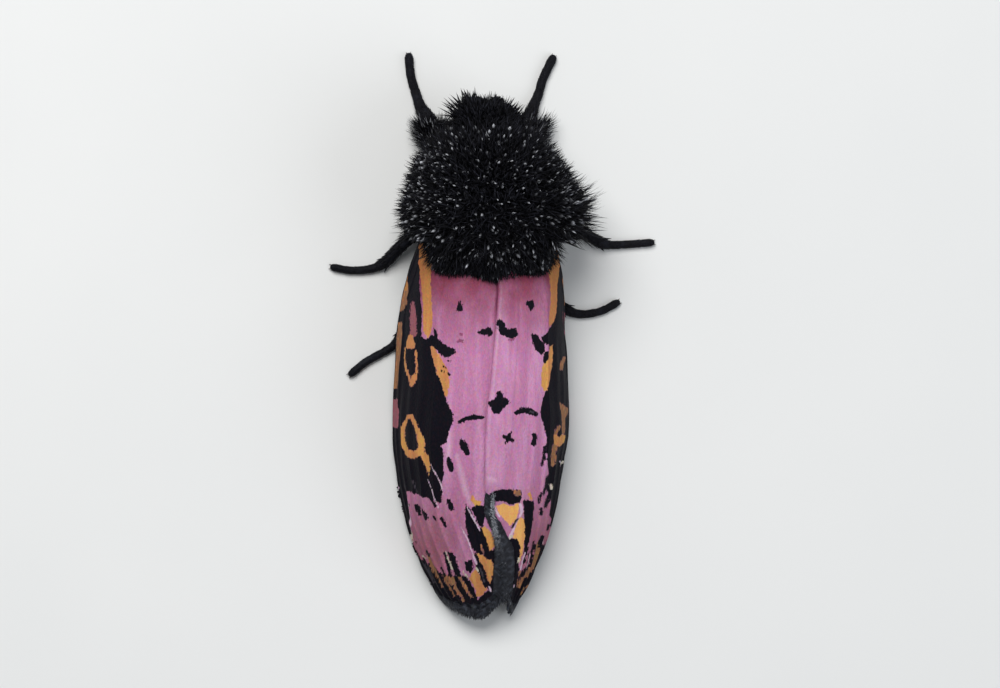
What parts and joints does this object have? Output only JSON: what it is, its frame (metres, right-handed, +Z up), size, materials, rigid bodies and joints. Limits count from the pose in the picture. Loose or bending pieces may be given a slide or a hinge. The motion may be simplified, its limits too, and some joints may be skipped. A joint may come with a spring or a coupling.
{
  "type": "spanish moth",
  "caption": "Life-size still model of a resting Spanish moth with furry black thorax and pink, orange and black forewings folded over its back like an upturned boat.",
  "frame": {"origin": "middle of the footprint, on the plane that the feet and the wings' lower edges stand on", "axes": "+Z up, -Y towards the head, +Y towards the wing tips, +X the moth's own left"},
  "size_m": [0.016, 0.0282, 0.0086],
  "materials": {
    "coat": "dense soft hair scales",
    "abdomen_skin": "matt scales",
    "eye": "glossy facets",
    "chitin": "satin",
    "forewing_scales": "velvety scales with black and orange marks",
    "hindwing_scales": "matt scales"
  },
  "bodies": {
    "root": {"thorax": "coat", "head": "coat", "abdomen": "abdomen_skin", "eye_left": "eye", "palp_left": "coat", "antenna_left": "chitin", "forewing_left": "forewing_scales", "hindwing_left": "hindwing_scales", "leg_fore_left": "chitin", "leg_mid_left": "chitin", "leg_hind_left": "chitin", "eye_right": "eye", "palp_right": "coat", "antenna_right": "chitin", "forewing_right": "forewing_scales", "hindwing_right": "hindwing_scales", "leg_fore_right": "chitin", "leg_mid_right": "chitin", "leg_hind_right": "chitin"}
  },
  "joints": []
}
